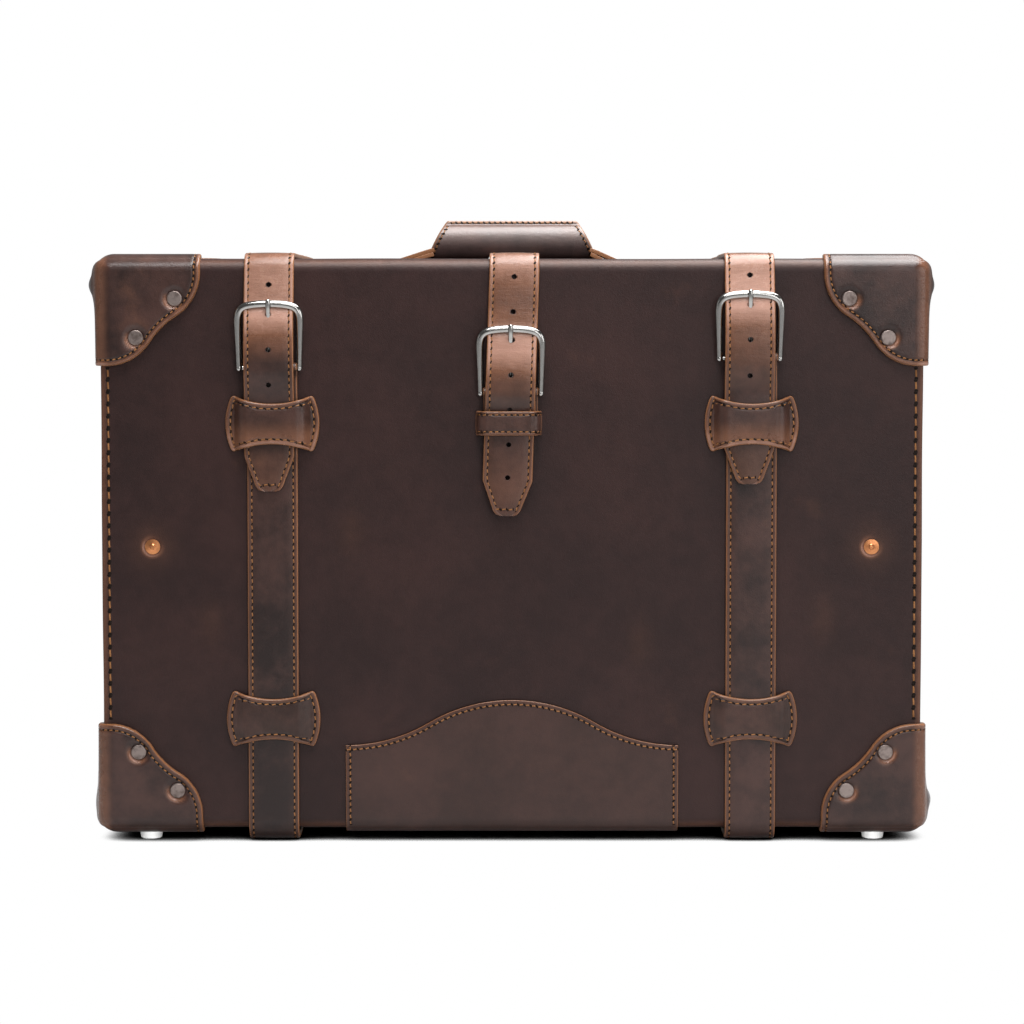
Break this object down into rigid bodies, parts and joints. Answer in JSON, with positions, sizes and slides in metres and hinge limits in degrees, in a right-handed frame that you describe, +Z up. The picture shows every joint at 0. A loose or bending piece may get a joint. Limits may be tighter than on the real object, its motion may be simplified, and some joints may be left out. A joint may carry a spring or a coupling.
{
  "type": "suitcase",
  "caption": "Hard-sided leather suitcase in two hinged halves, with scalloped corner caps, buckled straps over the top, a stitched grip handle and metal feet.",
  "frame": {"origin": "middle of the object's footprint, on the surface that the feet stand on", "axes": "+X to the right seen from the front, -Y out of the front, +Z up"},
  "size_m": [0.6212, 0.2202, 0.4684],
  "materials": {
    "case_leather": "dark brown oiled leather, semi-matt, pale scuffs",
    "strap_leather": "brown oiled leather with pale cut edges and stitching",
    "board": "pressed fibre board",
    "lining_cloth": "plain cotton drill",
    "webbing": "cotton webbing",
    "thread": "waxed linen thread",
    "nickel": "polished nickel plate",
    "aged_nickel": "antique nickel plate",
    "copper": "plain copper, slightly dull",
    "foot_metal": "bright nickel plate",
    "hinge_steel": "nickel-plated steel"
  },
  "bodies": {
    "base": {"base_cap_bottom_left": "strap_leather", "base_cap_bottom_right": "strap_leather", "base_cap_rivets": "aged_nickel", "base_cap_top_left": "strap_leather", "base_cap_top_right": "strap_leather", "base_copper_rivets": "copper", "base_core": "board", "base_feet": "foot_metal", "base_lining": "lining_cloth", "base_lip": "board", "base_packing_strap": "webbing", "base_sides": "case_leather", "base_wrap": "case_leather", "belt_back_left": "strap_leather", "belt_back_right": "strap_leather", "belt_folds": "strap_leather", "centre_anchor": "strap_leather", "handle_tabs": "strap_leather", "hinge_leaves_base": "hinge_steel", "hinge_pins": "hinge_steel", "hinge_screws_base": "hinge_steel", "keepers_back_left": "strap_leather", "keepers_back_right": "strap_leather"},
    "lid": {"belt_front_left": "strap_leather", "belt_front_right": "strap_leather", "centre_chape": "strap_leather", "centre_keeper": "strap_leather", "front_apron": "strap_leather", "hinge_leaves_lid": "hinge_steel", "hinge_screws_lid": "hinge_steel", "keeper_lower_left": "strap_leather", "keeper_lower_right": "strap_leather", "keeper_upper_left": "strap_leather", "keeper_upper_right": "strap_leather", "lid_cap_bottom_left": "strap_leather", "lid_cap_bottom_right": "strap_leather", "lid_cap_rivets": "aged_nickel", "lid_cap_top_left": "strap_leather", "lid_cap_top_right": "strap_leather", "lid_copper_rivets": "copper", "lid_core": "board", "lid_feet": "foot_metal", "lid_lining": "lining_cloth", "lid_packing_strap": "webbing", "lid_sides": "case_leather", "lid_wrap": "case_leather"},
    "handle": {"handle_grip": "strap_leather"},
    "buckle_left": {"buckle_frame_left": "nickel"},
    "prong_left": {"buckle_prong_left": "nickel"},
    "strap_top_left": {"billet_top_left": "strap_leather"},
    "strap_front_left": {"billet_front_left": "strap_leather"},
    "buckle_centre": {"buckle_frame_centre": "nickel"},
    "prong_centre": {"buckle_prong_centre": "nickel"},
    "strap_top_centre": {"billet_top_centre": "strap_leather"},
    "strap_front_centre": {"billet_front_centre": "strap_leather"},
    "buckle_right": {"buckle_frame_right": "nickel"},
    "prong_right": {"buckle_prong_right": "nickel"},
    "strap_top_right": {"billet_top_right": "strap_leather"},
    "strap_front_right": {"billet_front_right": "strap_leather"}
  },
  "joints": [
    {"name": "lid_hinge", "type": "hinge", "parent": "base", "child": "lid", "pos_m": [0, 0.00295, 0.006], "axis": [1, 0, 0], "range_deg": [0, 100], "deforming": ["billet_top_left", "billet_front_left", "billet_top_centre", "billet_front_centre", "billet_top_right", "billet_front_right", "belt_folds"]},
    {"name": "handle_lift", "type": "slide", "parent": "base", "child": "handle", "axis": [0, 0, 1], "range_m": [0, 0.02], "deforming": ["handle_tabs"]},
    {"name": "buckle_swing_left", "type": "hinge", "parent": "lid", "child": "buckle_left", "pos_m": [-0.1805, -0.10145, 0.3554], "axis": [1, 0, 0], "range_deg": [0, 80]},
    {"name": "prong_swing_left", "type": "hinge", "parent": "buckle_left", "child": "prong_left", "pos_m": [-0.1805, -0.10145, 0.3554], "axis": [1, 0, 0], "range_deg": [0, 15]},
    {"name": "strap_drop_left", "type": "hinge", "parent": "base", "child": "strap_top_left", "pos_m": [-0.1805, -0.00605, 0.4373], "axis": [1, 0, 0], "range_deg": [0, 90]},
    {"name": "strap_hang_left", "type": "hinge", "parent": "strap_top_left", "child": "strap_front_left", "pos_m": [-0.1805, -0.09925, 0.4392], "axis": [1, 0, 0], "range_deg": [-90, 0]},
    {"name": "buckle_swing_centre", "type": "hinge", "parent": "lid", "child": "buckle_centre", "pos_m": [-0.001, -0.10145, 0.3368], "axis": [1, 0, 0], "range_deg": [0, 80]},
    {"name": "prong_swing_centre", "type": "hinge", "parent": "buckle_centre", "child": "prong_centre", "pos_m": [-0.001, -0.10145, 0.3368], "axis": [1, 0, 0], "range_deg": [0, 15]},
    {"name": "strap_drop_centre", "type": "hinge", "parent": "base", "child": "strap_top_centre", "pos_m": [0.0012, -0.00605, 0.4373], "axis": [1, 0, 0], "range_deg": [0, 90]},
    {"name": "strap_hang_centre", "type": "hinge", "parent": "strap_top_centre", "child": "strap_front_centre", "pos_m": [0.0012, -0.09925, 0.4392], "axis": [1, 0, 0], "range_deg": [-90, 0]},
    {"name": "buckle_swing_right", "type": "hinge", "parent": "lid", "child": "buckle_right", "pos_m": [0.1765, -0.10145, 0.3626], "axis": [1, 0, 0], "range_deg": [0, 80]},
    {"name": "prong_swing_right", "type": "hinge", "parent": "buckle_right", "child": "prong_right", "pos_m": [0.1765, -0.10145, 0.3626], "axis": [1, 0, 0], "range_deg": [0, 15]},
    {"name": "strap_drop_right", "type": "hinge", "parent": "base", "child": "strap_top_right", "pos_m": [0.1765, -0.00605, 0.4373], "axis": [1, 0, 0], "range_deg": [0, 90]},
    {"name": "strap_hang_right", "type": "hinge", "parent": "strap_top_right", "child": "strap_front_right", "pos_m": [0.1765, -0.09925, 0.4392], "axis": [1, 0, 0], "range_deg": [-90, 0]}
  ],
  "couplings": [
    {"joint": "buckle_swing_left", "follows": "lid_hinge", "ratio": 0.8},
    {"joint": "prong_swing_left", "follows": "lid_hinge", "ratio": 0.15},
    {"joint": "strap_drop_left", "follows": "lid_hinge", "ratio": 0.9},
    {"joint": "strap_hang_left", "follows": "lid_hinge", "ratio": -0.9},
    {"joint": "buckle_swing_centre", "follows": "lid_hinge", "ratio": 0.8},
    {"joint": "prong_swing_centre", "follows": "lid_hinge", "ratio": 0.15},
    {"joint": "strap_drop_centre", "follows": "lid_hinge", "ratio": 0.9},
    {"joint": "strap_hang_centre", "follows": "lid_hinge", "ratio": -0.9},
    {"joint": "buckle_swing_right", "follows": "lid_hinge", "ratio": 0.8},
    {"joint": "prong_swing_right", "follows": "lid_hinge", "ratio": 0.15},
    {"joint": "strap_drop_right", "follows": "lid_hinge", "ratio": 0.9},
    {"joint": "strap_hang_right", "follows": "lid_hinge", "ratio": -0.9}
  ]
}
